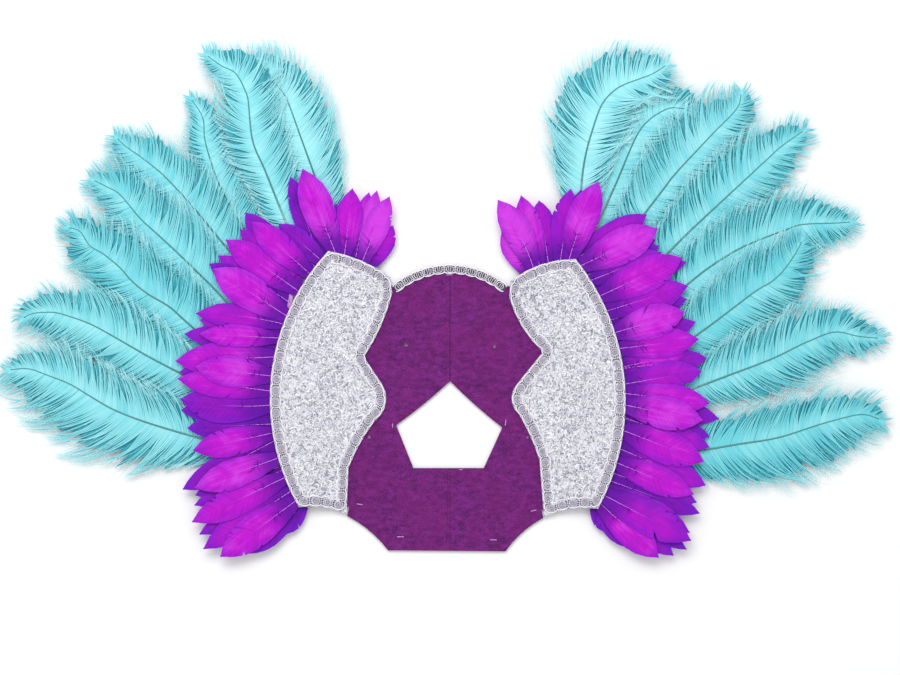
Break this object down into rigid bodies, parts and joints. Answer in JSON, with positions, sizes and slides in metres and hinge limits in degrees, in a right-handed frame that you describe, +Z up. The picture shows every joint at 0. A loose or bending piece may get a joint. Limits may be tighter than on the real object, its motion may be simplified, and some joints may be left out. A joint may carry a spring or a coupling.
{
  "type": "carnival feather shoulder piece",
  "caption": "Felt carnival shoulder piece with a five-sided neck opening, glitter panels, scalloped braid and fans of goose feathers and ostrich plumes.",
  "frame": {"origin": "on the underside of the felt, on its centre line, between the top arc and the neck opening, where it rests on a table", "axes": "+X towards the right-hand wing seen from above, +Y from the neck opening towards the top arc, +Z up from the table"},
  "size_m": [0.9694, 0.5584, 0.0173],
  "materials": {
    "felt": "matt stiff felt",
    "glitter": "silver glitter cloth",
    "braid": "white and silver gimp braid",
    "goose": "dyed satin feather",
    "ostrich": "dyed fluffy plume"
  },
  "bodies": {
    "root": {"felt_yoke": "felt", "glitter_panel_left": "glitter", "glitter_panel_right": "glitter", "braid_left": "braid", "braid_right": "braid", "braid_neck": "braid", "goose_row_left": "goose", "goose_row_right": "goose", "goose_feather_left_01": "goose", "goose_feather_left_02": "goose", "goose_feather_left_03": "goose", "goose_feather_left_04": "goose", "goose_feather_left_05": "goose", "goose_feather_left_06": "goose", "goose_feather_left_07": "goose", "goose_feather_left_08": "goose", "goose_feather_left_09": "goose", "goose_feather_left_10": "goose", "goose_feather_left_11": "goose", "goose_feather_left_12": "goose", "goose_feather_left_13": "goose", "goose_feather_left_14": "goose", "goose_feather_left_15": "goose", "goose_feather_left_16": "goose", "goose_feather_left_17": "goose", "goose_feather_left_18": "goose", "goose_feather_right_01": "goose", "goose_feather_right_02": "goose", "goose_feather_right_03": "goose", "goose_feather_right_04": "goose", "goose_feather_right_05": "goose", "goose_feather_right_06": "goose", "goose_feather_right_07": "goose", "goose_feather_right_08": "goose", "goose_feather_right_09": "goose", "goose_feather_right_10": "goose", "goose_feather_right_11": "goose", "goose_feather_right_12": "goose", "goose_feather_right_13": "goose", "goose_feather_right_14": "goose", "goose_feather_right_15": "goose", "goose_feather_right_16": "goose", "goose_feather_right_17": "goose", "goose_feather_right_18": "goose", "ostrich_plume_left_1": "ostrich", "ostrich_plume_left_2": "ostrich", "ostrich_plume_left_3": "ostrich", "ostrich_plume_left_4": "ostrich", "ostrich_plume_left_5": "ostrich", "ostrich_plume_left_6": "ostrich", "ostrich_plume_left_7": "ostrich", "ostrich_plume_left_8": "ostrich", "ostrich_plume_right_1": "ostrich", "ostrich_plume_right_2": "ostrich", "ostrich_plume_right_3": "ostrich", "ostrich_plume_right_4": "ostrich", "ostrich_plume_right_5": "ostrich", "ostrich_plume_right_6": "ostrich", "ostrich_plume_right_7": "ostrich", "ostrich_plume_right_8": "ostrich"}
  },
  "joints": []
}
